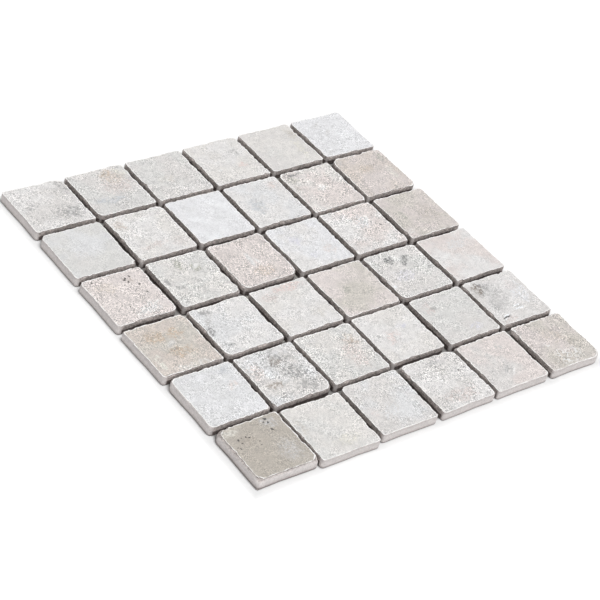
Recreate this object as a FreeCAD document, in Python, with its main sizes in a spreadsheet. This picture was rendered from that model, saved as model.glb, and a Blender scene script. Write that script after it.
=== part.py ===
import FreeCAD, Part
import math
import os
import Sketcher

# A mosaic tile sheet: square tumbled ceramic chips with open joints, glued face up on a backing net.
# The sheet lies flat. X runs along its front edge, Y towards the back and Z up.
# The origin is the middle of the sheet on the underside of the net.

ROWS = 6
COLUMNS = 6
ORIGIN = FreeCAD.Vector(0, 0, 0)
UP = FreeCAD.Vector(0, 0, 1)

# Driving sizes in millimetres
SIZES = {
    "chip_side": 47.0,  # a chip's body, from flank to flank
    "joint_width": 3.0,  # the open joint between two chips
    "chip_thickness": 6.6,
    "corner_radius": 2.8,  # a chip's upright corner as it is pressed, before wear
    "edge_waver": 0.5,  # the depth of the hollows that wear has left in a chip's sides
    "arris_wear": 0.6,  # how far the edge round the face is worn down
    "net_pitch": 15.0,  # strand to strand
    "strand_width": 1.2,
    "strand_thickness": 0.2,
    "net_inset": 6.0,  # from the outer chips' flanks in to the ends of the strands
}

FACETS = 4  # straight facets round a corner
HOLLOWS = 2  # points along a side where it stands in by its own share of the waver
SIDE_SPREAD = 0.75  # how much of a side they spread over

# How round tumbling has left a corner, as a share of the pressed corner's radius
WEAR = {"s": 0.35, "c": 0.55, "e": 0.75, "b": 1.0, "r": 1.8, "w": 2.6}

# The wear of each chip's corners, front left, front right, back right and back left, for the chips of a row
CORNERS = {
    6: ["eswe", "rebe", "cbee", "csre", "bebb", "reeb"],
    5: ["eesr", "cbrc", "ebce", "sesb", "scsr", "ercw"],
    4: ["ereb", "bbbe", "rwbb", "cccr", "cess", "cbce"],
    3: ["esrs", "rbsc", "sbsc", "bcse", "rbse", "cbce"],
    2: ["bber", "crsc", "eccc", "cbcb", "cbcb", "ebce"],
    1: ["sber", "ebcs", "eber", "cbwc", "cbcc", "eweb"],
}

# How far a chip has slipped right and back of its place, in shares of the joint, and its turn in degrees
SLIPS = {
    (1, 1): (0.45, 0.30, -0.4),
    (1, 2): (-0.15, -0.45, -0.8),
    (1, 3): (-0.15, 0.15, -0.5),
    (1, 4): (0.15, 0.15, 0.4),
    (1, 5): (-0.10, 0.15, -0.2),
    (1, 6): (0.25, 0.05, -0.4),
    (2, 1): (0.30, 0.10, -0.3),
    (2, 2): (0.10, -0.15, 0.0),
    (2, 3): (-0.15, 0.00, -0.3),
    (2, 4): (-0.40, 0.30, -0.2),
    (2, 5): (0.00, 0.05, 0.0),
    (2, 6): (-0.20, 0.00, -0.5),
    (3, 1): (-0.15, -0.15, 0.5),
    (3, 2): (-0.15, -0.05, 0.6),
    (3, 3): (-0.05, -0.15, 0.3),
    (3, 4): (-0.05, -0.10, 0.3),
    (3, 5): (-0.15, -0.10, 0.4),
    (3, 6): (-0.05, 0.05, 0.3),
    (4, 1): (-0.20, 0.05, 0.0),
    (4, 2): (0.10, 0.00, -0.2),
    (4, 3): (0.00, 0.05, 0.4),
    (4, 4): (-0.20, 0.00, 0.0),
    (4, 5): (-0.05, 0.10, 0.2),
    (4, 6): (0.05, 0.05, -0.2),
    (5, 1): (0.00, 0.00, -0.3),
    (5, 2): (0.20, 0.05, -0.3),
    (5, 3): (0.10, 0.15, -0.2),
    (5, 4): (0.05, 0.05, -0.2),
    (5, 5): (0.00, -0.10, 0.0),
    (5, 6): (-0.05, 0.15, -0.4),
    (6, 1): (0.20, 0.05, -0.3),
    (6, 2): (0.15, 0.05, 0.0),
    (6, 3): (0.05, 0.00, -0.3),
    (6, 4): (0.10, 0.05, 0.3),
    (6, 5): (0.05, 0.05, 0.1),
    (6, 6): (-0.05, 0.05, -0.4),
}


def size_sheet(doc):
    """Put the driving sizes in a spreadsheet, one named cell each."""
    sheet = doc.addObject("Spreadsheet::Sheet", "sizes")
    for line, (name, value) in enumerate(SIZES.items(), start=1):
        sheet.set(f"A{line}", name)
        sheet.set(f"B{line}", str(value))
        sheet.setAlias(f"B{line}", name)
    doc.recompute()
    return sheet


def plane(body, role):
    """The body's own origin plane with the given role."""
    return next(item for item in body.Origin.OriginFeatures if item.Role == role)


def new_sketch(body, name):
    """An empty sketch on the body's own ground plane."""
    sketch = body.newObject("Sketcher::SketchObject", name)
    sketch.AttachmentSupport = (plane(body, "XY_Plane"), [""])
    sketch.MapMode = "FlatFace"
    return sketch


def outline_points(row, column):
    """A chip's worn outline, anticlockwise from the left of its front left corner.

    Each point is its x and y, and each of those is a share of half the chip's side, of the corner radius and
    of the edge waver, to be added up.
    """
    points = []
    for corner, (x, y) in enumerate([(-1, -1), (1, -1), (1, 1), (-1, 1)]):
        wear = WEAR[CORNERS[row][column - 1][corner]]
        for step in range(FACETS + 1):
            angle = math.pi + (corner + step / FACETS) * math.pi / 2
            points.append(((x, wear * (math.cos(angle) - x), 0), (y, wear * (math.sin(angle) - y), 0)))
        side = math.pi / 2 * (corner - 1)  # the way that the side after this corner faces
        out_x, out_y = round(math.cos(side)), round(math.sin(side))
        for place in range(1, HOLLOWS + 1):
            along = SIDE_SPREAD * (2 * place / (HOLLOWS + 1) - 1)
            depth = (5 * row + 3 * column + 2 * corner + 4 * place) % 7 / 6
            points.append(
                ((out_x - out_y * along, 0, -out_x * depth), (out_y + out_x * along, 0, -out_y * depth))
            )
    return points


def chip_outline(body, sizes, row, column):
    """The sketch of a chip's worn outline, centred on the body's origin."""
    sketch = new_sketch(body, "outline")
    scales = (sizes.chip_side / 2, sizes.corner_radius, sizes.edge_waver)
    points = outline_points(row, column)
    places = [FreeCAD.Vector(*[math.sumprod(shares, scales) for shares in point]) for point in points]
    count = len(points)
    after = [(index + 1) % count for index in range(count)]
    sketch.addGeometry([Part.LineSegment(places[index], places[after[index]]) for index in range(count)], False)
    joins = [Sketcher.Constraint("Coincident", index, 2, after[index], 1) for index in range(count)]
    distances, expressions = [], []
    for index, point in enumerate(points):
        for direction, shares, value in zip("XY", point, places[index]):
            half, radius, waver = shares
            corner = f"{half} * sizes.chip_side / 2 + {radius} * sizes.corner_radius"
            distances.append(Sketcher.Constraint(f"Distance{direction}", -1, 1, index, 1, value))
            expressions.append(f"{corner} + {waver} * sizes.edge_waver")
    sketch.addConstraint(joins + distances)
    for index, expression in enumerate(expressions, start=count):
        sketch.setExpression(f"Constraints[{index}]", expression)
    return sketch


def top_face_name(shape):
    """The name of the face that lies highest."""
    heights = [face.CenterOfMass.z for face in shape.Faces]
    return f"Face{heights.index(max(heights)) + 1}"


def chip(doc, sizes, row, column):
    """One chip: a pressed square with worn corners and a worn arris, in its own place and turn."""
    body = doc.addObject("PartDesign::Body", f"chip_r{row}_c{column}")
    body.Label = f"chip_r{row}_c{column}"
    pad = body.newObject("PartDesign::Pad", "slab")
    pad.Profile = chip_outline(body, sizes, row, column)
    pad.setExpression("Length", "sizes.chip_thickness")
    body.Tip = pad
    doc.recompute()

    arris = body.newObject("PartDesign::Chamfer", "arris")
    arris.Base = (pad, [top_face_name(pad.Shape)])
    arris.setExpression("Size", "sizes.arris_wear")
    body.Tip = arris

    slip_right, slip_back, turn = SLIPS[row, column]
    body.Placement = FreeCAD.Placement(ORIGIN, FreeCAD.Rotation(UP, turn))
    pitch = "(sizes.chip_side + sizes.joint_width)"
    right = column - (COLUMNS + 1) / 2
    back = row - (ROWS + 1) / 2
    body.setExpression("Placement.Base.x", f"{right} * {pitch} + {slip_right} * sizes.joint_width")
    body.setExpression("Placement.Base.y", f"{back} * {pitch} + {slip_back} * sizes.joint_width")
    body.setExpression("Placement.Base.z", "2 * sizes.strand_thickness")
    return body


def strand(doc, along_x, centre, tip, layer):
    """One flat strand of the net, as far to both sides as its tips, in the lower (0) or upper (1) layer."""
    box = doc.addObject("Part::Box", "weft" if along_x else "warp")
    run, across = ("Length", "Width") if along_x else ("Width", "Length")
    run_axis, across_axis = ("x", "y") if along_x else ("y", "x")
    box.setExpression(run, f"2 * {tip}")
    box.setExpression(across, "sizes.strand_width")
    box.setExpression("Height", "sizes.strand_thickness")
    box.setExpression(f"Placement.Base.{run_axis}", f"-{tip}")
    box.setExpression(f"Placement.Base.{across_axis}", f"{centre} - sizes.strand_width / 2")
    box.setExpression("Placement.Base.z", f"{layer} * sizes.strand_thickness")
    return box


def backing_net(doc, sizes):
    """The net under the chips: strands along Y below strands along X, fused where they cross."""
    strands = []
    for count, along_x, layer in [(COLUMNS, False, 0), (ROWS, True, 1)]:
        tip = f"({count} / 2 * (sizes.chip_side + sizes.joint_width) - sizes.joint_width / 2 - sizes.net_inset)"
        reach = count / 2 * (sizes.chip_side + sizes.joint_width) - sizes.joint_width / 2 - sizes.net_inset
        last = math.floor((reach - sizes.strand_width) / sizes.net_pitch)
        for index in range(-last, last + 1):
            strands.append(strand(doc, along_x, f"{index} * sizes.net_pitch", tip, layer))
    net = doc.addObject("Part::MultiFuse", "backing_net")
    net.Shapes = strands
    net.Label = "backing_net"
    return net


def check(doc, pieces):
    """Stop if anything in the document failed, or if a piece isn't one valid solid."""
    for item in doc.Objects:
        if "Invalid" in item.State or "Error" in item.State:
            raise RuntimeError(f"{item.Label} failed: {item.State}")
    for piece in pieces:
        shape = piece.Shape
        if shape.isNull() or not shape.isValid() or len(shape.Solids) != 1:
            raise RuntimeError(f"{piece.Label} is not one valid solid")


def main():
    doc = FreeCAD.newDocument("mosaic_tile_sheet")
    sizes = size_sheet(doc)
    pieces = [backing_net(doc, sizes)]
    for row in range(1, ROWS + 1):
        for column in range(1, COLUMNS + 1):
            pieces.append(chip(doc, sizes, row, column))
    doc.recompute()
    check(doc, pieces)
    os.makedirs("parts", exist_ok=True)
    for piece in pieces:
        piece.Shape.exportStep(f"parts/{piece.Label}.step")
        print(f"{piece.Label}: {piece.Shape.Volume / 1000:.2f} cm3")


main()
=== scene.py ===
import math
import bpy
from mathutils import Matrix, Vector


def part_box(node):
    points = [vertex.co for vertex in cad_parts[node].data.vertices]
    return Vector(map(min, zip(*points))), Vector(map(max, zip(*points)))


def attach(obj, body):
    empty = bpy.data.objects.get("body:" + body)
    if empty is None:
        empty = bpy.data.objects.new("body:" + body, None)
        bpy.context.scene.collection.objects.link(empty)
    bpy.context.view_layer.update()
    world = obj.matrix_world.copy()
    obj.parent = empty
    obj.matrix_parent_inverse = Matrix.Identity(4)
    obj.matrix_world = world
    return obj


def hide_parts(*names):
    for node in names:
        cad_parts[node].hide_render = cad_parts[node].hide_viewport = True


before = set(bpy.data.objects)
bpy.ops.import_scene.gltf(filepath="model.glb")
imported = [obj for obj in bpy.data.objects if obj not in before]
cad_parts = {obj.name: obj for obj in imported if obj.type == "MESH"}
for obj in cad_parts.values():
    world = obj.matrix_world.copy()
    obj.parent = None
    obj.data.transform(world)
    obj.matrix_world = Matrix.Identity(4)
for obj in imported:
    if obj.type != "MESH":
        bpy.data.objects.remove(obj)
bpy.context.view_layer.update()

from types import SimpleNamespace

import bmesh
import bpy
from mathutils import Matrix, Vector

scene = bpy.context.scene
print("frame loaded:", len(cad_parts), "parts")


class Wire:
    # a socket that sums can be written with; without a socket it is only the tree to build in
    def __init__(self, tree, socket=None):
        self.tree = tree
        self.socket = socket

    def put(self, kind, settings={}, sockets={}, output=0):
        # any node: its settings come first, then the values or wires of its sockets
        node = self.tree.nodes.new(kind)
        for name, value in settings.items():
            setattr(node, name, value)
        for key, value in sockets.items():
            if isinstance(value, Wire):
                self.tree.links.new(value.socket, node.inputs[key])
            else:
                node.inputs[key].default_value = value
        return Wire(self.tree, node.outputs[output] if len(node.outputs) else None)

    def out(self, name):
        # another output of the node that this wire comes from
        return Wire(self.tree, self.socket.node.outputs[name])

    def maths(self, operation, *others, **settings):
        sockets = dict(enumerate((self, *others)))
        return self.put("ShaderNodeMath", {"operation": operation, **settings}, sockets)

    def __neg__(self):
        return self.maths("MULTIPLY", -1)

    def __add__(self, other):
        return self.maths("ADD", other)

    __radd__ = __add__

    def __sub__(self, other):
        return self.maths("SUBTRACT", other)

    def __rsub__(self, other):
        return self.put("ShaderNodeMath", {"operation": "SUBTRACT"}, {0: other, 1: self})

    def __mul__(self, other):
        return self.maths("MULTIPLY", other)

    __rmul__ = __mul__

    def __truediv__(self, other):
        return self.maths("DIVIDE", other)

    def __rtruediv__(self, other):
        return self.put("ShaderNodeMath", {"operation": "DIVIDE"}, {0: other, 1: self})

    def __pow__(self, other):
        return self.maths("POWER", other)

    def __rpow__(self, other):
        return self.put("ShaderNodeMath", {"operation": "POWER"}, {0: other, 1: self})

    def clamp(self):
        return self.maths("ADD", 0.0, use_clamp=True)

    def ease(self, low, high, start=0.0, end=1.0):
        # goes smoothly from start to end while the value goes from low to high
        sockets = {0: self, 1: low, 2: high, 3: start, 4: end}
        return self.put("ShaderNodeMapRange", {"interpolation_type": "SMOOTHSTEP"}, sockets)

    def vector(self, operation, *others, output=0):
        sockets = dict(enumerate((self, *others)))
        return self.put("ShaderNodeVectorMath", {"operation": operation}, sockets, output)

    def times(self, factor):
        return self.put("ShaderNodeVectorMath", {"operation": "SCALE"}, {0: self, "Scale": factor})

    def split(self):
        # the x, y and z of this vector
        parts = self.put("ShaderNodeSeparateXYZ", {}, {0: self})
        return [parts.out(axis) for axis in "XYZ"]

    def noise(self, size, detail=2.0, roughness=0.5, seed=0.0, output=0):
        # cloudy noise whose blots are about size across, in the units of this vector
        sockets = {"Vector": self, "W": seed, "Scale": 1 / size, "Detail": detail, "Roughness": roughness}
        return self.put("ShaderNodeTexNoise", {"noise_dimensions": "4D"}, sockets, output)

    def mix(self, factor, first, second):
        # the first colour, going over to the second by the factor
        return self.put("ShaderNodeMix", {"data_type": "RGBA"}, {0: factor, 6: first, 7: second}, 2)

    def tint(self, factor, other):
        return self.mix(factor, self, other)


def linear(red, green, blue):
    # a screen colour of 0 to 255 as the light that it stands for
    parts = [part / 255 for part in (red, green, blue)]
    parts = [part / 12.92 if part <= 0.04045 else ((part + 0.055) / 1.055) ** 2.4 for part in parts]
    return (*parts, 1.0)


def newFinish(name):
    # an empty material and the wire to build in it
    material = bpy.data.materials.new(name)
    material.use_nodes = True
    material.node_tree.nodes.clear()
    return material, Wire(material.node_tree)


def newTree(name, inputs):
    # an empty geometry tree with named inputs; returns it with the wire to build in it and its input wires
    tree = bpy.data.node_groups.new(name, "GeometryNodeTree")
    tree.interface.new_socket("Geometry", in_out="INPUT", socket_type="NodeSocketGeometry")
    tree.interface.new_socket("Geometry", in_out="OUTPUT", socket_type="NodeSocketGeometry")
    for label, value in inputs.items():
        if value is None:
            tree.interface.new_socket(label, in_out="INPUT", socket_type="NodeSocketMaterial")
            continue
        kind = {int: "NodeSocketInt", float: "NodeSocketFloat", tuple: "NodeSocketVector"}[type(value)]
        tree.interface.new_socket(label, in_out="INPUT", socket_type=kind).default_value = value
    bench = Wire(tree)
    return tree, bench, bench.put("NodeGroupInput")


def runTree(name, tree, start, values):
    # an object called name with the plain mesh that the tree makes of the start mesh
    piece = bpy.data.objects.new(name, start)
    scene.collection.objects.link(piece)
    modifier = piece.modifiers.new("shape", "NODES")
    modifier.node_group = tree
    for item in tree.interface.items_tree:
        if item.in_out == "INPUT" and item.name in values:
            modifier[item.identifier] = values[item.name]
    graph = bpy.context.evaluated_depsgraph_get()
    made = bpy.data.meshes.new_from_object(piece.evaluated_get(graph))
    piece.modifiers.clear()
    piece.data = made
    made.name = name
    return piece


tones = {
    # the print, from pale to dark; the first is the pale line round the face, partly worn glaze and partly a
    # painted highlight
    "glazeAndHighlight": linear(255, 254, 252),
    "ice": linear(243, 244, 246),
    "white": linear(243, 242, 241),
    "snow": linear(233, 233, 235),
    "chalk": linear(231, 229, 228),
    "pearl": linear(228, 225, 222),
    "frost": linear(226, 226, 227),
    "cream": linear(227, 224, 216),
    "lilac": linear(221, 220, 227),
    "mist": linear(221, 220, 218),
    "blush": linear(226, 218, 215),
    "ash": linear(222, 219, 217),
    "pink": linear(227, 213, 209),
    "rose": linear(218, 210, 207),
    "steel": linear(205, 207, 210),
    "sand": linear(213, 204, 197),
    "drab": linear(209, 204, 197),
    "grey": linear(203, 201, 200),
    "tan": linear(203, 187, 171),
    "taupe": linear(190, 183, 174),
    "olive": linear(180, 180, 170),
    "slate": linear(152, 151, 151),
    "umber": linear(142, 126, 112),
    "smoke": linear(118, 119, 119),
    "char": linear(92, 92, 90),
    # the pressed body on the flanks, a painted shade at its foot, dust and painted shade in the joints, and a
    # darker painted shade deep in the joints, under the rim and at the ground
    "body": linear(220, 214, 212),
    "foot": linear(188, 180, 178),
    "jointDustAndShade": linear(190, 181, 177),
    "paintedDeepShade": linear(100, 91, 88),
}

# each chip's own look: its main tone and a second one that drifts through it, how gritty it is, and how
# strong its dark flecks and pale veins are; then, in mm from the chip's middle,
# patches: tone, x, y, half width, half depth, turn in degrees and strength
# pits: x, y and half width of small dark hollows
# scrawls: x, y, half width and half depth of the spots with worm-like white marks
chipLooks = {
    (6, 1): dict(
        main="ash", second="chalk", grit="plain", flecks=1.0,
        patches=[
            ("slate", 9, -11, 16, 8, 2, 0.5), ("slate", 20, 15, 6, 9, 15, 0.5),
            ("grey", -12, 2, 8, 5, 0, 0.7), ("chalk", 0, 8, 12, 7, 0, 0.6),
            ("grey", 14, -16, 10, 3, 0, 0.4)]),
    (6, 2): dict(
        main="mist", second="ash", grit="plain", flecks=0.4,
        patches=[
            ("rose", 8, 3, 16, 12, 0, 0.9), ("sand", 10, 12, 12, 10, 0, 0.9),
            ("tan", 8, 18, 8, 4, 20, 0.5), ("cream", 17, 16, 5, 6, 0, 0.7),
            ("steel", -5, -10, 19, 5, -6, 0.8), ("grey", 4, -17, 18, 6, 0, 0.6)]),
    (6, 3): dict(
        main="mist", second="ash", grit="plain", flecks=0.35,
        patches=[
            ("drab", -4, -2, 8, 6, 20, 0.4), ("chalk", 6, -16, 16, 4, 0, 0.5)]),
    (6, 4): dict(
        main="pearl", second="chalk", grit="fine", flecks=0.35,
        patches=[
            ("pink", 10, -8, 6, 4, 0, 1.0), ("grey", 11, 8, 3, 7, 30, 0.8),
            ("white", -11, -8, 2, 1.5, 0, 0.8), ("drab", -6, 8, 9, 6, 20, 0.2)]),
    (6, 5): dict(
        main="ash", second="pearl", grit="smooth", flecks=0.25,
        patches=[
            ("cream", 15, -6, 6, 14, -10, 0.8), ("drab", 18, 11, 5, 9, 0, 0.8),
            ("mist", -8, -4, 12, 12, 0, 0.6)]),
    (6, 6): dict(
        main="snow", second="snow", grit="fine", flecks=0.5,
        patches=[
            ("grey", -6, 13, 8, 3, 20, 0.45), ("grey", -2, 4, 5, 2, 40, 0.4),
            ("grey", -15, -17, 8, 4, 0, 0.35), ("ice", 10, -2, 9, 10, 0, 0.5)]),
    (5, 1): dict(
        main="mist", second="frost", grit="smooth", flecks=0.1,
        patches=[
            ("ash", -8, -8, 12, 12, 0, 0.5)]),
    (5, 2): dict(
        main="chalk", second="pearl", grit="plain", flecks=0.3,
        patches=[
            ("sand", -18, 14, 6, 8, 0, 0.6), ("rose", -6, -12, 16, 4, 6, 0.7),
            ("chalk", -12, 2, 8, 7, 0, 0.8), ("rose", 14, -14, 8, 8, 0, 0.4),
            ("white", 4, 14, 7, 3, 0, 0.6)]),
    (5, 3): dict(
        main="snow", second="snow", grit="smooth", flecks=0.0, veins=0.5,
        patches=[
            ("frost", -10, 14, 9, 5, -30, 0.8), ("frost", 10, -4, 10, 4, -30, 0.6),
            ("ice", 0, -16, 7, 4, 0, 0.8), ("ice", -10, 0, 9, 4, -30, 0.6)]),
    (5, 4): dict(
        main="frost", second="chalk", grit="fine", flecks=0.3,
        patches=[
            ("steel", -10, -2, 10, 11, 20, 0.6), ("blush", 15, 14, 8, 6, 0, 0.8),
            ("chalk", 2, 16, 10, 4, 0, 0.6)]),
    (5, 5): dict(
        main="blush", second="pearl", grit="coarse", flecks=0.4,
        patches=[
            ("slate", -13, 20, 9, 3, -6, 0.9), ("umber", -19, 5, 3, 4, 0, 0.35),
            ("olive", -16, 14, 6, 5, 0, 0.5), ("rose", -4, -13, 18, 8, 0, 0.6),
            ("white", 0, 0, 9, 5, 0, 0.5)]),
    (5, 6): dict(
        main="rose", second="sand", grit="plain", flecks=0.3,
        patches=[
            ("tan", -2, 6, 8, 6, 0, 0.35), ("cream", 15, -5, 5, 9, 0, 0.5),
            ("olive", 18, 13, 4, 8, 0, 0.5), ("grey", -18, 18, 5, 5, 0, 0.4)]),
    (4, 1): dict(
        main="blush", second="blush", grit="coarse", flecks=0.5,
        pits=[
            (7.3, 15.8, 1.2), (11, 16.8, 1.0), (6.2, 14.4, 0.9), (7.6, 12, 0.9), (13.6, 8, 1.3),
            (14.2, -0.4, 0.9), (-15.6, 20.2, 0.9), (-4.6, -9, 0.7)],
        patches=[
            ("sand", -10, 12, 12, 8, 0, 0.6), ("chalk", 6, -15, 16, 6, 20, 0.8),
            ("umber", 8, 14, 5, 3, 0, 0.25)]),
    (4, 2): dict(
        main="mist", second="pearl", grit="coarse", flecks=0.4,
        patches=[
            ("olive", 9, 9, 6, 4, 30, 0.8), ("olive", -2, 14, 4, 6, 0, 0.6),
            ("white", 9, 10, 3, 2, 30, 0.8), ("slate", -19, 2, 2, 5, 0, 0.6),
            ("slate", -14, -5, 3, 5, 20, 0.4), ("pearl", 2, -12, 16, 7, 0, 0.5)]),
    (4, 3): dict(
        main="rose", second="blush", grit="coarse", flecks=0.2,
        patches=[
            ("chalk", -1, 1, 2, 8, -4, 1.0), ("chalk", 3, -1, 1.6, 4, 14, 0.7),
            ("tan", 2, -12, 14, 6, 0, 0.35)]),
    (4, 4): dict(
        main="chalk", second="snow", grit="fine", flecks=0.3,
        patches=[
            ("lilac", -8, 6, 7, 6, 20, 0.8), ("lilac", -3, -10, 5, 4, 0, 0.6),
            ("blush", 12, -8, 8, 8, 0, 0.5)]),
    (4, 5): dict(
        main="blush", second="chalk", grit="coarse", flecks=0.35,
        pits=[
            (14.8, -1.2, 1.2), (19.8, -1.0, 0.8)],
        patches=[
            ("frost", 4, 6, 12, 8, 20, 0.6), ("white", 8, 7, 5, 2, 60, 0.7),
            ("rose", -14, -14, 8, 7, 0, 0.5)]),
    (4, 6): dict(
        main="rose", second="drab", grit="plain", flecks=0.35,
        patches=[
            ("taupe", 8, -2, 13, 14, 0, 0.35), ("olive", -12, 2, 4, 5, 0, 0.4),
            ("pearl", -18, -16, 5, 5, 0, 0.5)]),
    (3, 1): dict(
        main="sand", second="drab", grit="plain", flecks=0.3,
        patches=[
            ("tan", -8, 11, 10, 8, 0, 0.95), ("tan", 7, 9, 9, 7, 0, 0.8), ("tan", 2, -6, 14, 7, 0, 0.9),
            ("cream", -18, -12, 3, 10, 0, 0.8), ("pearl", 2, -20, 18, 3, 0, 0.6),
            ("pearl", 0, 2, 5, 2, 30, 0.7)]),
    (3, 2): dict(
        main="frost", second="chalk", grit="plain", flecks=0.5,
        patches=[
            ("slate", -13, 17, 8, 4, 0, 0.5), ("slate", -20.5, 1, 3, 6, 0, 0.7),
            ("smoke", -15, -15, 5, 2.6, -6, 0.55), ("grey", -17, 9, 5, 6, 0, 0.6)]),
    (3, 3): dict(
        main="chalk", second="pearl", grit="fine", flecks=0.3,
        patches=[
            ("pink", 6, 18, 16, 5, 0, 1.0), ("rose", -12, 14, 9, 6, 0, 0.8),
            ("drab", 10, -10, 8, 8, 0, 0.3)]),
    (3, 4): dict(
        main="blush", second="drab", grit="fine", flecks=0.3,
        patches=[
            ("olive", -5, -1, 5, 5, 0, 0.5), ("drab", 12, 6, 8, 10, 0, 0.3),
            ("rose", 10, -14, 10, 7, 0, 0.5)]),
    (3, 5): dict(
        main="ash", second="mist", grit="coarse", flecks=0.35,
        patches=[
            ("slate", -6, 14, 5, 4, -20, 0.7), ("smoke", -7, 15, 3.2, 2.6, -30, 0.85),
            ("slate", 6, 12, 6, 5, 30, 0.7), ("smoke", 8, 14.5, 4, 2.8, 20, 0.8),
            ("smoke", 3, 7.5, 3, 3, 0, 0.6), ("white", 1, 13, 3, 2, 20, 0.8),
            ("slate", 19, -1.5, 2, 2, 0, 0.5), ("lilac", -4, -3, 14, 8, 0, 0.4),
            ("ice", -21, -10, 2, 1.6, 0, 0.7)]),
    (3, 6): dict(
        main="blush", second="chalk", grit="smooth", flecks=0.1,
        patches=[
            ("frost", 4, 10, 12, 7, 0, 0.6), ("white", -12, 2, 6, 2, 20, 0.6)]),
    (2, 1): dict(
        main="frost", second="snow", grit="fine", flecks=0.25,
        patches=[
            ("steel", 15, 17, 6, 4, 20, 0.7), ("blush", 14, 3, 6, 4, 20, 0.6)]),
    (2, 2): dict(
        main="ash", second="frost", grit="rough", flecks=0.9,
        patches=[
            ("slate", 5, 13, 15, 8, 0, 0.42), ("umber", 2, 11, 8, 5, -20, 0.3),
            ("slate", 8, -1, 13, 9, -20, 0.42), ("umber", -11, -7, 9, 5, -10, 0.45),
            ("slate", 10, -14, 11, 6, 0, 0.38), ("blush", -16, 8, 7, 12, 0, 0.7),
            ("ice", -8, 3, 6, 5, 30, 0.6)]),
    (2, 3): dict(
        main="mist", second="pearl", grit="coarse", flecks=0.35,
        patches=[
            ("rose", 9, -3, 12, 19, 0, 0.9), ("umber", 12, 6, 3, 4, 0, 0.35),
            ("tan", 14, 8, 7, 9, 0, 0.25)]),
    (2, 4): dict(
        main="pearl", second="chalk", grit="fine", flecks=0.25,
        patches=[
            ("pink", -6, -2, 10, 7, 30, 0.5), ("lilac", 8, 6, 6, 4, 0, 0.6),
            ("slate", -15, 2, 1.6, 1.6, 0, 0.5)]),
    (2, 5): dict(
        main="ash", second="mist", grit="fine", flecks=0.35,
        patches=[
            ("rose", -14, 12, 7, 8, 0, 0.8), ("slate", -10, 11, 3, 2, 0, 0.5),
            ("lilac", 7, -15, 8, 4, 0, 0.6)]),
    (2, 6): dict(
        main="chalk", second="ash", grit="fine", flecks=0.15,
        patches=[
            ("slate", -12, 14, 9, 9, -15, 0.9), ("umber", -15, 15, 6, 7, 0, 0.4),
            ("slate", -12, -3, 7, 9, -20, 0.7), ("grey", -6, 3, 11, 18, -15, 1.0),
            ("snow", 14, 2, 10, 18, 0, 0.9), ("rose", -14, -19, 9, 4, 0, 0.8),
            ("blush", 12, 10, 7, 6, 30, 0.5), ("ice", 1.5, -9.0, 4.4, 0.9, 6, 1.0),
            ("grey", 1.5, -10.2, 4, 0.8, 4, 0.8), ("ice", 1.0, -12.0, 5, 1.0, 2, 1.0),
            ("char", -15, -16.4, 4.6, 0.9, 8, 0.9), ("ice", -13.5, -15.0, 4.4, 0.9, 10, 1.0),
            ("ice", -16, -17.8, 3, 0.7, 4, 0.7)]),
    (1, 1): dict(
        main="taupe", second="taupe", grit="fine", flecks=0.3,
        pits=[
            (12.4, 20.0, 1.3), (10.0, 18.0, 0.7), (12.9, 16.6, 0.8), (11.6, 10.8, 1.1),
            (-14.1, 11.3, 0.9), (-11.3, 12.1, 0.6), (-7.8, 11.9, 0.8), (-6.2, 11.0, 0.9),
            (-13.2, 7.9, 0.7), (-18.2, 6.0, 0.7), (-16.5, 4.4, 0.6), (-1.6, 5.7, 0.6), (-3.2, 2.4, 0.6)],
        patches=[
            ("grey", 13, 17, 9, 6, 0, 0.7), ("cream", -15, 18, 10, 5, 10, 0.6),
            ("umber", -10, 8, 9, 4, 10, 0.15), ("grey", 12, -8, 11, 14, 0, 0.6)]),
    (1, 2): dict(
        main="pearl", second="mist", grit="fine", flecks=0.2,
        patches=[
            ("drab", -18, 6, 3, 12, 0, 0.5), ("cream", 4, -14, 12, 6, 0, 0.6)]),
    (1, 3): dict(
        main="ash", second="frost", grit="plain", flecks=0.4,
        patches=[
            ("frost", 0, -8, 16, 10, 0, 0.7), ("blush", -16, -4, 5, 8, 0, 0.4),
            ("white", 17, -5, 3, 1, -20, 0.7)]),
    (1, 4): dict(
        main="ash", second="chalk", grit="coarse", flecks=0.5,
        pits=[
            (13.4, 5.3, 1.2)],
        patches=[
            ("grey", 2, 16, 14, 5, 0, 0.5), ("rose", 0, -14, 20, 8, 0, 0.8),
            ("white", -9, -16, 3, 2.6, 0, 0.5)]),
    (1, 5): dict(
        main="blush", second="ash", grit="fine", flecks=0.15,
        patches=[
            ("grey", -3, -8, 5, 5, 40, 0.7), ("grey", 7, 12, 5, 3, 40, 0.6),
            ("white", 1, -11, 5, 0.8, 50, 0.6)]),
    (1, 6): dict(
        main="rose", second="drab", grit="coarse", flecks=0.3,
        scrawls=[
            (-2, -14, 14, 8), (-9, 0, 3, 2)],
        patches=[
            ("sand", 2, 6, 14, 8, -20, 0.7), ("taupe", 12, -4, 8, 8, 0, 0.4),
            ("taupe", -8, -14, 12, 8, 0, 0.4), ("umber", -22, 20, 1.4, 2.6, 20, 0.8),
            ("ice", -21, 20, 0.7, 2.6, 20, 0.8)]),
}

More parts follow.
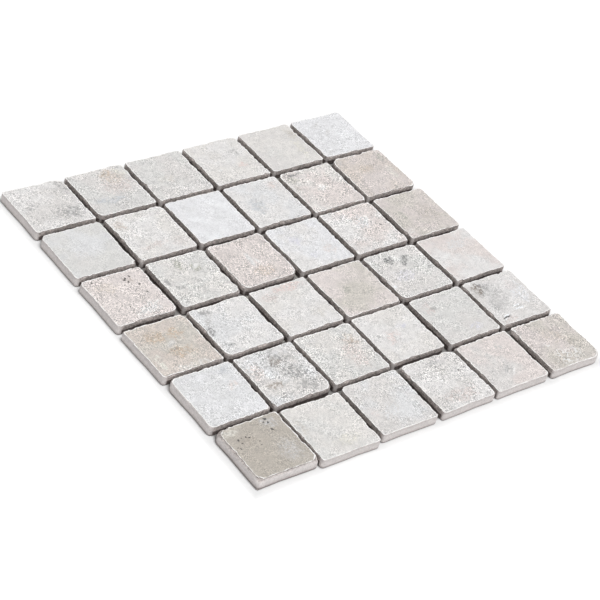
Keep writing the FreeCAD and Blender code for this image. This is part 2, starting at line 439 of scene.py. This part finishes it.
stone = {
    "grit": {"smooth": 0.45, "fine": 0.75, "plain": 1.0, "coarse": 1.35, "rough": 1.5},
    "mottleDepth": 0.28,  # how far each of these noises lightens and darkens the print
    "grainDepth": 0.18,
    "speckleDepth": 0.56,
    "wander": 14.0,  # mm that the outline of a large patch may stray, half of it to each side
    "kink": 3.0,  # and the outline of a small mark
    "large": 2.5,  # mm of half width and half depth above which a patch is large
    "patches": 1.15,  # strength of all patches, and then of each kind of mark
    "crumbs": 0.04,
    "scrawls": 0.9,
    "squiggles": 0.07,
    "cracks": 0.40,
    "flecks": 0.6,
    "pale": 0.05,
    "pits": 0.9,
    "crumbSize": 3.0,  # mm
    "veinScale": 0.012,
    "rim": 0.25,  # mm inside the edge of the face, where the pale line of worn glaze and painted highlight runs
    "rimFade": (0.28, 0.65),  # mm to the sides of it
    "relief": {"mottle": 0.10, "grain": 0.03, "blots": 0.06, "marks": 0.05, "pits": 0.5},
    "reliefDepth": 0.001,  # metres, for a relief of 1
    "roughness": 0.72,
    "gloss": 0.35,
}
# where the flanks' tones and painted shades begin and where they are full, in mm from the edge of the face,
# downwards below 0
flankLines = {
    "jointDustAndShade": (-4.1, -3.1),  # dust and painted shade above, and a darker painted shade deep in the joint below
    # a thin painted shade line under the rim of the face, in the joints
    "underRim": (-0.8, -0.35),
    # the outer flanks' painted shade at the foot, giving way to the body tone above
    "body": (-6.8, -4.4),
    # a thin painted shade line under the face, on the outer flanks
    "underFace": (-2.6, -0.5),
    # a painted contact shadow at the ground
    "ground": (-6.3, -6.6),
}
# the blot size in mm, detail, roughness and seed of each noise
stoneNoises = {
    "drift": (26.0, 3.0, 0.55, 0.0),  # broad clouds of the second tone
    "mottle": (4.0, 5.0, 0.62, 3.0),
    "grain": (1.2, 2.0, 0.6, 5.0),
    "blots": (2.6, 3.0, 0.6, 7.0),
    "wander": (7.0, 3.0, 0.6, 9.0),
    "flecks": (1.1, 2.0, 0.5, 11.0),
    "pale": (1.6, 2.0, 0.5, 13.0),
    "ragged": (1.0, 3.0, 0.6, 15.0),  # the edge of the print
    "squiggles": (3.2, 3.0, 0.65, 17.0),
    "cracks": (4.4, 4.0, 0.7, 19.0),
    "speckle": (0.55, 1.0, 0.5, 21.0),
    "specks": (1.7, 2.5, 0.65, 23.0),  # what the large patches break up into
    "rim": (4.0, 2.0, 0.5, 25.0),
    "gritty": (9.0, 2.0, 0.5, 27.0),  # where the grain and the speckle are stronger
    "kink": (1.8, 2.0, 0.5, 29.0),
    "scrawls": (4.2, 1.5, 0.5, 31.0),
}
outerFlank = (145.6, 147.0)  # mm from the sheet's middle over which its own outer sides begin
cornerFlank = (20.8, 22.4)  # mm from a chip's middle over which its corners begin
anyHeight = 1000.0  # mm, half the height of a spot, so that it goes right through the chip


def noiseAt(place, name, seed, output=0):
    size, detail, roughness, ownSeed = stoneNoises[name]
    return place.noise(size, detail, roughness, seed + ownSeed, output)


def strayed(place, name, seed):
    # the place moved about by a noise, for what has a wandering outline
    shift = noiseAt(place, name, seed, output=1).vector("SUBTRACT", (0.5, 0.5, 0.5))
    return place.vector("ADD", shift.times(stone[name]))


def levelLine(noise, low, high):
    # 1 along the thin lines where a noise is at its middle level, going down to 0 beside them
    return (noise - 0.5).maths("ABSOLUTE").ease(low, high, 1.0, 0.0)


def readChip(bench, look, centre, seed):
    # what several layers of a chip's finish share: its place in mm and the noises there
    place = bench.put("ShaderNodeTexCoord", output="Object").times(1000.0)
    return SimpleNamespace(
        place=place,
        centre=centre,
        seed=seed,
        grit=stone["grit"][look["grit"]],
        mottle=noiseAt(place, "mottle", seed),
        blots=noiseAt(place, "blots", seed),
        grain=noiseAt(place, "grain", seed).ease(0.36, 0.64),
        speckle=noiseAt(place, "speckle", seed).ease(0.38, 0.62),
        wander=strayed(place, "wander", seed),
        kink=strayed(place, "kink", seed))


def fromSpot(chip, place, x, y, wide, deep, turn=0.0):
    # how far the place is from a spot on the chip: 0 in its middle, 1 at its half width and half depth
    near = place.put("ShaderNodeMapping", {"vector_type": "TEXTURE"}, {
        "Vector": place, "Location": (chip.centre[0] + x, chip.centre[1] + y, 0.0),
        "Rotation": (0, 0, turn), "Scale": (wide, deep, anyHeight)})
    return near.vector("LENGTH", output=1)


def addPatches(colour, chip, patches):
    # a small mark keeps its place, while a large patch wanders and breaks up into specks
    specks = noiseAt(chip.place, "specks", chip.seed)
    broken = chip.blots.ease(0.36, 0.62, 0.35, 1.0) * chip.mottle.ease(0.3, 0.6, 0.4, 1.0)
    for tone, x, y, wide, deep, turn, strength in patches:
        large = min(wide, deep) > stone["large"]
        place = chip.wander if large else chip.kink
        mask = fromSpot(chip, place, x, y, wide, deep, math.radians(turn)).ease(0.35, 1.25, 1.0, 0.0)
        if large:
            flecked = (mask * 0.42 + (specks - 0.5) * 2.0).ease(0.30, 0.48)
            mask = mask * (broken * 0.36 + flecked * (0.74 + 0.30 * chip.grit))
        colour = colour.tint(mask * (strength * stone["patches"]), tones[tone])
    return colour


def addVeins(colour, chip, strength):
    # pale veins that run aslant
    vein = colour.put("ShaderNodeTexWave", {"wave_type": "BANDS", "bands_direction": "DIAGONAL"}, {
        "Vector": chip.wander, "Scale": stone["veinScale"], "Distortion": 2.0, "Detail": 3.0}, 1)
    return colour.tint(vein.ease(0.80, 1.0) * strength, tones["ice"])


def addGrain(colour, chip):
    # mottling all over, with grain and speckle that are stronger in some places than in others
    gritty = noiseAt(chip.place, "gritty", chip.seed).ease(0.35, 0.65, 0.35, 1.25)
    shade = 1.0 + (chip.mottle - 0.5) * stone["mottleDepth"]
    shade = shade + (chip.grain - 0.5) * gritty * (stone["grainDepth"] * chip.grit)
    shade = shade + (chip.speckle - 0.5) * gritty * (stone["speckleDepth"] * chip.grit)
    return colour.times(shade)


def addCrumbs(colour, chip):
    # pale crumbs of stone, one in some of the cells
    cell = colour.put("ShaderNodeTexVoronoi", {"voronoi_dimensions": "3D"}, {
        "Vector": chip.kink, "Scale": 1 / stone["crumbSize"]}, "Distance")
    chance = cell.out("Color").split()[0]
    crumb = cell.ease(0.46, 0.34) * chance.ease(0.55, 0.75) * chip.blots.ease(0.40, 0.55)
    return colour.times(1.0 + crumb * (stone["crumbs"] * chip.grit))


def addScrawls(colour, chip, scrawls):
    worm = levelLine(noiseAt(chip.place, "scrawls", chip.seed), 0.015, 0.045)
    for x, y, wide, deep in scrawls:
        mask = fromSpot(chip, chip.wander, x, y, wide, deep).ease(0.5, 1.1, 1.0, 0.0)
        colour = colour.tint(mask * worm * stone["scrawls"], tones["white"])
    return colour


def addFlecks(colour, chip, strength):
    # small dark and small pale flecks
    dark = noiseAt(chip.place, "flecks", chip.seed).ease(0.62, 0.68) * strength
    colour = colour.tint(dark * stone["flecks"], tones["slate"])
    pale = noiseAt(chip.place, "pale", chip.seed).ease(0.64, 0.71)
    return colour.times(1.0 + pale * (stone["pale"] + stone["pale"] * chip.grit))


def pitsOf(chip, pits):
    # 1 inside the chip's pits and 0 outside, or None without any
    inside = None
    for x, y, size in pits:
        mask = fromSpot(chip, chip.kink, x, y, size, size * 0.7, x).ease(0.65, 1.15, 1.0, 0.0)
        inside = mask if inside is None else inside.maths("MAXIMUM", mask)
    return inside


def printOf(bench, chip, look):
    # the print on the face, and the height of its relief
    drift = noiseAt(chip.place, "drift", chip.seed).ease(0.42, 0.60)
    colour = bench.mix(drift, tones[look["main"]], tones[look["second"]])
    colour = addPatches(colour, chip, look["patches"])
    if "veins" in look:
        colour = addVeins(colour, chip, look["veins"])
    colour = addGrain(colour, chip)
    colour = addCrumbs(colour, chip)
    if "scrawls" in look:
        colour = addScrawls(colour, chip, look["scrawls"])
    squiggle = levelLine(noiseAt(chip.place, "squiggles", chip.seed), 0.008, 0.035)
    squiggle = squiggle * chip.blots.ease(0.47, 0.60)
    colour = colour.times(1.0 + squiggle * (stone["squiggles"] * chip.grit))
    crack = levelLine(noiseAt(chip.place, "cracks", chip.seed), 0.004, 0.022) * chip.mottle.ease(0.53, 0.42)
    colour = colour.tint(crack * (stone["cracks"] * chip.grit), tones["slate"])
    colour = addFlecks(colour, chip, look["flecks"])
    depth = stone["relief"]
    relief = chip.mottle * depth["mottle"] + chip.grain * (depth["grain"] * chip.grit)
    relief = relief + chip.blots * depth["blots"] + squiggle * depth["marks"] - crack * depth["marks"]
    pits = pitsOf(chip, look.get("pits", []))
    if pits is None:
        return colour, relief
    return colour.tint(pits * stone["pits"], tones["char"]), relief - pits * depth["pits"]


def flankOf(bench, chip, edge, crumbs, ragged):
    # the flanks in the joints get dust and painted shade, with a darker painted shade deep down and a thin
    # one under the rim, while the sheet's outer flanks and the chips' corners are clear of it
    sheetX, sheetY, _ = chip.place.vector("ABSOLUTE").split()
    outer = sheetX.maths("MAXIMUM", sheetY).ease(*outerFlank)
    chipX, chipY, _ = chip.place.vector("SUBTRACT", (*chip.centre, 0.0)).vector("ABSOLUTE").split()
    corner = chipX.maths("MINIMUM", chipY).ease(*cornerFlank)
    clearOfDustAndShade = outer.maths("MAXIMUM", corner * 0.85)
    # dust and painted shade on the joint walls, darkening into a deeper painted shade further down and in a
    # thin line under the rim
    dusty = bench.mix((edge + crumbs * 1.2).ease(*flankLines["jointDustAndShade"]), tones["paintedDeepShade"], tones["jointDustAndShade"])
    dusty = dusty.tint(ragged.ease(*flankLines["underRim"]) * 0.75, tones["paintedDeepShade"])
    dusty = dusty.times(1.0 + (chip.blots - 0.5) * 1.4 + (chip.grain - 0.5) * 0.6)
    # painted shade: the outer flanks and the corners darken towards the foot, in a thin line under the face
    # and at the ground
    bare = bench.mix(edge.ease(*flankLines["body"]), tones["foot"], tones["body"])
    bare = bare.tint(ragged.ease(*flankLines["underFace"]) * 0.5, tones["foot"])
    bare = bare.tint(ragged.ease(*flankLines["ground"]) * 0.5, tones["paintedDeepShade"])
    shade = 1.0 + (chip.mottle - 0.5) * 0.3 + (chip.grain - 0.5) * 0.12 + (chip.speckle - 0.5) * 0.12
    return dusty.tint(clearOfDustAndShade, bare.times(shade))


def stoneFinish(name, look, centre, seed):
    material, bench = newFinish(name)
    chip = readChip(bench, look, centre, seed)
    colour, relief = printOf(bench, chip, look)

    # a white line runs round the face, partly worn glaze and partly a painted highlight, and beyond it the
    # print gives way to the pressed body
    edge = bench.put("ShaderNodeAttribute", {
        "attribute_type": "GEOMETRY", "attribute_name": "fromFace"}, output="Fac")
    crumbs = noiseAt(chip.place, "ragged", seed) - 0.5
    ragged = edge + crumbs * 0.5
    line = (ragged - stone["rim"]).maths("ABSOLUTE").ease(*stone["rimFade"], 1.0, 0.0)
    line = line * noiseAt(chip.place, "rim", seed).ease(0.38, 0.58, 0.3, 1.0)
    colour = colour.tint(line, tones["glazeAndHighlight"])
    cover = ragged.ease(-0.25, -0.05)
    colour = flankOf(bench, chip, edge, crumbs, ragged).tint(cover, colour)

    normal = bench.put("ShaderNodeBump", {}, {
        "Strength": 1.0, "Distance": stone["reliefDepth"], "Height": relief})
    rough = stone["roughness"] + (chip.mottle - 0.5) * 0.2 + (1 - cover) * 0.15
    shader = bench.put("ShaderNodeBsdfPrincipled", {}, {
        "Base Color": colour, "Roughness": rough, "Normal": normal, "Specular IOR Level": stone["gloss"]})
    bench.put("ShaderNodeOutputMaterial", {}, {"Surface": shader})
    return material


chipShape = {  # in metres
    "Around": 360,  # points round a chip
    "Arris": 0.00011,  # how far the edge round the face is worn where it is best kept
    "Chipping": 0.0008,  # how much further it is where it has chipped
    "Relief": 0.00022,  # how deep the face dips
}
chipHalf = 0.0235  # half of a chip's side
footRound = 0.0002  # a tiny round at the foot of the flanks
sideStarts = 0.82  # the share of that half at which the wear of one side begins
biteEdge = (0.004, 0.0015)  # how far from its middle a bite begins, and where it has its full depth
facetDepth = 0.0004  # on the flank near the arris
dentDepth = 0.00015  # on the whole flank
nickDepth = 0.00006  # on the arris
belowTop = 0.000002  # how far a face stays below the top of its CAD piece
closeGap = 0.000001  # points nearer than this become one
flankRows = 5
arrisRows = 6
faceRows = 12
chipRows = 2 + flankRows + arrisRows + faceRows  # the first two are the underside and the foot
faceSpread = 1.8  # above 1, the face's rows are closer to its edge
outlineStep = 0.002  # the share of the way round between two readings of the outline


def readOutline(bench, outline, around):
    # the outline's small facets are rounded off by reading it a little before and after each point too
    rail = bench.put("ShaderNodeCombineXYZ")
    for step, share in [(-2, 0.1), (-1, 0.2), (0, 0.4), (1, 0.2), (2, 0.1)]:
        near = around + (1 + step * outlineStep)
        near = bench.put("GeometryNodeSampleCurve", {"mode": "FACTOR"}, {
            "Curves": outline, "Factor": near.maths("FRACT")}, "Position")
        rail = rail.vector("ADD", near.times(share))
    return rail


def scallopsAt(place):
    # bites side by side along the arris, each as deep as chance has it: width in mm, depth and how seldom
    chipped = 0
    for size, share, seldom in [(7.0, 1.0, 0.58), (3.4, 0.6, 0.42), (1.7, 0.35, 0.25)]:
        cell = place.put("ShaderNodeTexVoronoi", {"voronoi_dimensions": "2D"}, {
            "Vector": place, "Scale": 1 / size}, "Distance")
        chance = cell.out("Color").split()[0]
        scallop = (1 - (cell * 1.5) ** 2).clamp()
        chipped = chipped + scallop * chance.ease(seldom, 0.95) * share
    return chipped


def arrisWear(bench, given, rail, spoke):
    # how far in and how far down the arris is worn at each point of the outline
    railMm = rail.times(1000.0)
    seed = given.out("Seed")
    shifted = railMm.vector("ADD", bench.put("ShaderNodeCombineXYZ", {}, {"X": seed * 13.0, "Y": seed * 7.0}))
    railX, railY, _ = railMm.vector("ABSOLUTE").split()
    outer = railX.maths("MAXIMUM", railY).ease(*outerFlank)
    # the sheet's own outer sides are chipped less
    chipped = scallopsAt(shifted) * (1 - outer * 0.5) * given.out("Chipping")
    nibbles = shifted.noise(1.6, 2.0, 0.5)
    spokeX, spokeY, _ = spoke.split()
    acrossX = spokeX / chipHalf
    acrossY = spokeY / chipHalf
    sides = acrossX.ease(-sideStarts, -1.0) * given.out("Left Wear")
    sides = sides + acrossX.ease(sideStarts, 1.0) * given.out("Right Wear")
    sides = sides + acrossY.ease(-sideStarts, -1.0) * given.out("Front Wear")
    sides = sides + acrossY.ease(sideStarts, 1.0) * given.out("Back Wear")
    bitten = rail.vector("DISTANCE", given.out("Bite Place"), output=1).ease(*biteEdge) * given.out("Bite")
    wear = given.out("Arris") * (0.4 + nibbles * 1.6) + chipped + sides + bitten
    drop = given.out("Arris") * (0.5 + nibbles * 0.6) + chipped * 1.5 + sides * 1.3 + bitten * 1.5
    return wear, drop


def tumbledChipTree():
    # a grid with a column for each point round the chip, wrapped over its profile row by row
    tree, bench, given = newTree("tumbledChip", {
        **chipShape, "Centre": (0.0, 0.0, 0.0), "Base": 0.0, "Thickness": 0.0066, "Left Wear": 0.0,
        "Front Wear": 0.0, "Right Wear": 0.0, "Back Wear": 0.0, "Bite Place": (0.0, 0.0, 0.0), "Bite": 0.0,
        "Seed": 0.0, "Finish": None})
    outline = bench.put("GeometryNodeMeshToCurve", {}, {"Mesh": given.out("Geometry")})
    grid = bench.put("GeometryNodeMeshGrid", {}, {
        "Size X": 1.0, "Size Y": 1.0, "Vertices X": given.out("Around") + 1, "Vertices Y": chipRows + 1})
    across, up, _ = bench.put("GeometryNodeInputPosition").split()
    rail = readOutline(bench, outline, (across + 0.5).clamp())
    row = (up + 0.5) * chipRows
    centre = given.out("Centre")
    seed = given.out("Seed")
    spoke = rail.vector("SUBTRACT", centre)
    wear, drop = arrisWear(bench, given, rail, spoke)

    # the profile: underside, foot, flank, arris and face, each going from 0 to 1 over its own rows
    under = row.clamp()
    foot = (row - 1).clamp()
    flank = ((row - 2) / flankRows).clamp()
    arris = ((row - 2 - flankRows) / arrisRows).clamp()
    face = ((row - 2 - flankRows - arrisRows) / faceRows).clamp()
    bend = arris * (math.pi / 2)
    inset = (1 - foot) * footRound + wear * (arris + 1 - bend.maths("COSINE")) / 2
    inward = (1 - inset / chipHalf) * (1 - face ** faceSpread)
    rise = drop * (arris + bend.maths("SINE")) / 2
    height = foot * footRound + flank * (given.out("Thickness") - drop - footRound) + rise
    fromFlank = (1 - inward) * chipHalf
    place = spoke.times(inward * under).vector("ADD", centre)
    spot = bench.put("ShaderNodeCombineXYZ", {}, {"Z": height + given.out("Base")}).vector("ADD", place)

    # small facets that chipping leaves on the arris, dents in the flank and a gently dipping face
    spotMm = spot.times(1000.0)
    facets = spotMm.noise(2.2, 2.0, 0.55, seed + 40.0)
    slow = spotMm.noise(14.0, 3.0, 0.5, seed + 60.0)
    below = (1 - face).ease(0.86, 1.0)  # 1 up to the edge of the face, and off on it
    pinch = facets.ease(0.35, 0.75) * facetDepth * flank ** 3 * below
    pinch = pinch + slow.ease(0.35, 0.7) * dentDepth * flank * below
    lower = slow.ease(0.3, 0.7) * given.out("Relief") * face.ease(0.0, 0.2)
    lower = lower + facets.ease(0.4, 0.8) * nickDepth * arris
    spot = spot.vector("ADD", spoke.vector("NORMALIZE").times(-pinch))
    spot = spot.vector("ADD", bench.put("ShaderNodeCombineXYZ", {}, {"Z": -lower}))

    # how far each point is from the edge of the face, in mm, below 0 on the arris and the flank,
    # stored before the points move, as the fields read the grid
    fromFace = (fromFlank - wear).maths("MAXIMUM", 0.0)
    fromFace = fromFace - (1 - arris) * (wear + drop) * 0.8 - (1 - flank) * (given.out("Thickness") - drop)
    shape = bench.put("GeometryNodeStoreNamedAttribute", {"data_type": "FLOAT", "domain": "POINT"}, {
        "Geometry": grid, "Name": "fromFace", "Value": fromFace * 1000.0})
    shape = bench.put("GeometryNodeSetPosition", {}, {"Geometry": shape, "Position": spot})
    shape = bench.put("GeometryNodeMergeByDistance", {}, {"Geometry": shape, "Distance": closeGap})
    shape = bench.put("GeometryNodeSetShadeSmooth", {}, {"Geometry": shape, "Shade Smooth": True})
    sharp = bench.put("GeometryNodeInputMeshEdgeAngle").maths("GREATER_THAN", math.radians(32))
    shape = bench.put("GeometryNodeSetShadeSmooth", {"domain": "EDGE"}, {
        "Geometry": shape, "Selection": sharp, "Shade Smooth": False})
    shape = bench.put("GeometryNodeRealizeInstances", {}, {"Geometry": shape})
    shape = bench.put("GeometryNodeSetMaterial", {}, {"Geometry": shape, "Material": given.out("Finish")})
    bench.put("NodeGroupOutput", {}, {0: shape})
    return tree


def footLoop(node):
    # the outline of a chip's underside as a closed loop, anticlockwise, and its middle
    work = bmesh.new()
    work.from_mesh(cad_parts[node].data)
    bmesh.ops.remove_doubles(work, verts=work.verts, dist=1e-6)
    base = min(vert.co.z for vert in work.verts)
    foot = [vert.co.copy() for vert in work.verts if vert.co.z - base < 1e-5]
    work.free()
    low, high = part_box(node)
    middle = Vector(((low.x + high.x) / 2, (low.y + high.y) / 2, base))
    foot.sort(key=lambda point: math.atan2(point.y - middle.y, point.x - middle.x))
    start = bpy.data.meshes.new("outline")
    start.from_pydata(foot, [(i, (i + 1) % len(foot)) for i in range(len(foot))], [])
    return start, middle


# chips whose arris is worn wider on a side: left, front, right, back (mm)
wornSides = {
    (1, 1): (1.2, 1.3, 0.1, 0.1),
    (2, 1): (0.5, 0.0, 0.0, 0.0),
    (4, 3): (0.5, 0.2, 0.0, 0.2),
    (3, 2): (0.3, 0.3, 0.0, 0.0),
}
# chips with a bite out of the edge: x and y on the sheet and depth (mm)
bites = {
    (1, 2): (-52.0, -137.0, 0.9),
    (4, 2): (-51.3, 23.0, 1.1),
    (5, 6): (129.0, 98.5, 1.0),
    (1, 6): (103.0, -107.0, 0.9),
}

chipTree = tumbledChipTree()
chips = []
for row, column in sorted(chipLooks):
    node = f"chip_r{row}_c{column}"
    start, middle = footLoop(node)
    low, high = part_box(node)
    seed = 7.3 * row + 1.9 * column
    centre = (middle.x * 1000, middle.y * 1000)
    finish = stoneFinish(f"stone_r{row}_c{column}", chipLooks[row, column], centre, seed)
    left, front, right, back = [wear / 1000 for wear in wornSides.get((row, column), (0, 0, 0, 0))]
    biteX, biteY, bite = [size / 1000 for size in bites.get((row, column), (0, 0, 0))]
    chip = runTree(f"tile_r{row}_c{column}", chipTree, start, {
        **chipShape, "Centre": tuple(middle), "Base": low.z - middle.z,
        "Thickness": high.z - low.z - belowTop,
        "Left Wear": left, "Front Wear": front, "Right Wear": right, "Back Wear": back,
        "Bite Place": (biteX, biteY, middle.z), "Bite": bite, "Seed": seed, "Finish": finish})
    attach(chip, "root")
    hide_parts(node)
    chips.append(chip)
print("chips made:", len(chips), "with", sum(len(chip.data.polygons) for chip in chips), "faces")


net = {  # in metres
    "Pitch": 0.015,
    "Reach": 0.1425,
    "Strands": 9,  # to each side of the middle one
    "Steps": 110,  # along a strand
    "Width": 0.0012,
    "Thickness": 0.0002,
}
yarn = {  # half width, half thickness and the height of the middle, as shares of the strand's
    "flat": (0.46, 0.48, 1.5),
    "twisted": (0.20, 0.28, 0.5),
    "twist": (0.28, 0.2),  # how far the twisted pair swings to the side and up
    "sides": 8,  # round a yarn
    "strayMm": 22.0,  # the net lies a little askew, in waves of about this length
    "stray": 0.0016,  # metres
    "closeGap": 0.000003,  # points nearer than this become one
}


def netTree():
    # twisted pairs of yarns along Y in the lower layer, flat yarns along X in the upper
    tree, bench, given = newTree("wovenNet", {**net, "Finish": None})
    thickness, width, reach = given.out("Thickness"), given.out("Width"), given.out("Reach")
    flat = bench.put("GeometryNodeInputPosition")
    atX, atY, _ = flat.split()
    joined = bench.put("GeometryNodeJoinGeometry")
    for alongX, turn in [(True, 0.0), (False, 0.0), (False, math.pi)]:
        grid = bench.put("GeometryNodeMeshGrid", {}, {
            "Size X": 2.0, "Size Y": 1.0,
            "Vertices X": given.out("Steps") + 1, "Vertices Y": yarn["sides"] + 1})
        along = atX * reach
        turned = atY * (2 * math.pi)
        ends = atX.maths("ABSOLUTE").ease(0.999, 1.0, 1.0, 0.0)  # closes the yarn at its tips
        halfWide, halfHigh, level = yarn["flat" if alongX else "twisted"]
        if alongX:
            side = turned.maths("COSINE") * width * halfWide * ends
            lift = (turned.maths("SINE") * halfHigh * ends + level) * thickness
            order = {"X": along, "Y": side, "Z": lift}
        else:
            swing, rise = yarn["twist"]
            twist = along * math.pi / given.out("Pitch") + (math.pi / 2 + turn)
            side = (turned.maths("COSINE") * halfWide * ends + twist.maths("COSINE") * swing) * width
            lift = (turned.maths("SINE") * halfHigh * ends + twist.maths("SINE") * rise + level) * thickness
            order = {"X": -side, "Y": along, "Z": lift}
        shape = bench.put("ShaderNodeCombineXYZ", {}, order)
        tube = bench.put("GeometryNodeStoreNamedAttribute", {"data_type": "FLOAT", "domain": "POINT"}, {
            "Geometry": grid, "Name": "fibre", "Value": atY * 8.0 + along * 90.0})
        tube = bench.put("GeometryNodeSetPosition", {}, {"Geometry": tube, "Position": shape})
        offset = bench.put("ShaderNodeCombineXYZ", {}, {("Y" if alongX else "X"): given.out("Pitch")})
        first = offset.times(-given.out("Strands"))
        line = bench.put("GeometryNodeMeshLine", {"mode": "OFFSET"}, {
            "Count": given.out("Strands") * 2 + 1, "Start Location": first, "Offset": offset})
        spread = bench.put("GeometryNodeInstanceOnPoints", {}, {"Points": line, "Instance": tube})
        tree.links.new(spread.socket, joined.socket.node.inputs[0])
    real = bench.put("GeometryNodeRealizeInstances", {}, {"Geometry": joined})
    stray = flat.times(1000.0).noise(yarn["strayMm"], 3.0, 0.6, 4.0, output=1)
    stray = stray.vector("SUBTRACT", (0.5, 0.5, 0.5)).vector("MULTIPLY", (yarn["stray"], yarn["stray"], 0.0))
    loose = bench.put("GeometryNodeSetPosition", {}, {"Geometry": real, "Offset": stray})
    loose = bench.put("GeometryNodeFlipFaces", {}, {0: loose})
    merged = bench.put("GeometryNodeMergeByDistance", {}, {"Geometry": loose, "Distance": yarn["closeGap"]})
    smooth = bench.put("GeometryNodeSetShadeSmooth", {}, {"Geometry": merged, "Shade Smooth": True})
    done = bench.put("GeometryNodeSetMaterial", {}, {"Geometry": smooth, "Material": given.out("Finish")})
    bench.put("NodeGroupOutput", {}, {0: done})
    return tree


def fibreFinish():
    material, bench = newFinish("netFibre")
    place = bench.put("ShaderNodeTexCoord", output="Object").times(1000.0)
    fibre = bench.put("ShaderNodeAttribute", {
        "attribute_type": "GEOMETRY", "attribute_name": "fibre"}, output="Fac")
    threads = (fibre * 12.0).maths("SINE") * 0.5 + 0.5
    dusty = place.noise(6.0, 3.0, 0.6, 2.0)
    colour = bench.mix(threads * 0.7 + dusty * 0.3, linear(206, 203, 194), linear(238, 237, 232))
    normal = bench.put("ShaderNodeBump", {}, {"Strength": 0.8, "Distance": 0.00006, "Height": threads})
    shader = bench.put("ShaderNodeBsdfPrincipled", {}, {
        "Base Color": colour, "Roughness": dusty * 0.25 + 0.45, "Normal": normal})
    bench.put("ShaderNodeOutputMaterial", {}, {"Surface": shader})
    return material


netPiece = runTree("net", netTree(), bpy.data.meshes.new("empty"), {**net, "Finish": fibreFinish()})
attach(netPiece, "root")
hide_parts("backing_net")
print("net made:", len(netPiece.data.polygons), "faces")


ground = {
    "size": 8,
    "pale": (0.86, 0.86, 0.86, 1),
    "paintedFloorShade": (0.30, 0.29, 0.28, 1),  # a painted shade on the floor under the sheet
    "shadeEnds": (0.1430, 0.1465),  # metres from the sheet's middle where the painted shade ends
    "liftStarts": (0.1480, 0.1585),  # and where the camera begins to see the floor as white
    "lift": 0.35,
}


def makeFloor():
    bpy.ops.mesh.primitive_plane_add(size=ground["size"])
    floor = bpy.context.object
    floor.name = "floor"
    material, bench = newFinish("paleFloor")
    atX, atY, _ = bench.put("ShaderNodeTexCoord", output="Object").vector("ABSOLUTE").split()
    out = atX.maths("MAXIMUM", atY)
    # the floor under the sheet is painted with shade, and the lift to white starts at the sheet's edge, so
    # that the floor under it stays in its shade
    seen = bench.put("ShaderNodeLightPath", output="Is Camera Ray") * out.ease(*ground["liftStarts"])
    colour = bench.mix(out.ease(*ground["shadeEnds"]), ground["paintedFloorShade"], ground["pale"])
    matt = bench.put("ShaderNodeBsdfDiffuse", {}, {"Color": colour})
    lift = bench.put("ShaderNodeEmission", {}, {"Color": (1, 1, 1, 1), "Strength": seen * ground["lift"]})
    both = bench.put("ShaderNodeAddShader", {}, {0: matt, 1: lift})
    bench.put("ShaderNodeOutputMaterial", {}, {"Surface": both})
    floor.data.materials.append(material)


light = {
    "ambient": 0.32,
    "lamps": {  # the strength of each, its spread in degrees and where it stands
        "key": (2.03, 26.0, (0.05, -0.26, 1.0)),
        "fill": (0.45, 40.0, (-0.56, -0.82, 0.28)),
    },
}


def makeLight():
    world = bpy.data.worlds.new("studio")
    scene.world = world
    world.use_nodes = True
    world.node_tree.nodes.clear()
    bench = Wire(world.node_tree)
    # the camera and reflections see a white world, and the object gets its soft light from a dimmer one
    path = bench.put("ShaderNodeLightPath", output="Is Camera Ray")
    seen = (path + path.out("Is Glossy Ray") + path.out("Is Transmission Ray")).clamp()
    strength = seen * (1 - light["ambient"]) + light["ambient"]
    sky = bench.put("ShaderNodeBackground", {}, {"Color": (1, 1, 1, 1), "Strength": strength})
    bench.put("ShaderNodeOutputWorld", {}, {"Surface": sky})
    for name, (strength, spread, place) in light["lamps"].items():
        lamp = bpy.data.lights.new(name, "SUN")
        lamp.energy = strength
        lamp.angle = math.radians(spread)
        stand = bpy.data.objects.new(name, lamp)
        stand.location = place
        stand.rotation_euler = (-Vector(place)).to_track_quat("-Z", "Y").to_euler()
        scene.collection.objects.link(stand)


# where the camera stands: its turn round the sheet, its height angle and its roll in degrees, how far it is
# and how far its view is shifted from the middle of the sheet, and the height it looks at, all in mm
shot = {
    "turn": -48.13,
    "height": 37.63,
    "roll": 16.93,
    "distance": 1295.0,
    "right": -2.2,
    "up": -17.5,
    "aim": 7.0,
    "lens": 115.5,
    "sensor": 36,
}


def makeCamera():
    turn, height, roll = [math.radians(shot[name]) for name in ("turn", "height", "roll")]
    back = Vector((math.sin(turn) * math.cos(height), -math.cos(turn) * math.cos(height), math.sin(height)))
    level = Vector((math.cos(turn), math.sin(turn), 0))
    up = back.cross(level)
    right = math.cos(roll) * level + math.sin(roll) * up
    top = -math.sin(roll) * level + math.cos(roll) * up
    place = back * shot["distance"] + right * shot["right"] + top * shot["up"] + Vector((0, 0, shot["aim"]))
    lens = bpy.data.cameras.new("camera")
    lens.lens = shot["lens"]
    lens.sensor_width = shot["sensor"]
    lens.clip_start, lens.clip_end = 0.02, 50
    camera = bpy.data.objects.new("camera", lens)
    turned = Matrix((right, top, back)).transposed().to_4x4()
    camera.matrix_world = Matrix.Translation(place / 1000) @ turned
    scene.collection.objects.link(camera)
    scene.camera = camera


makeFloor()
makeLight()
makeCamera()
scene.view_settings.view_transform = "Standard"
print("floor, light and camera ready")
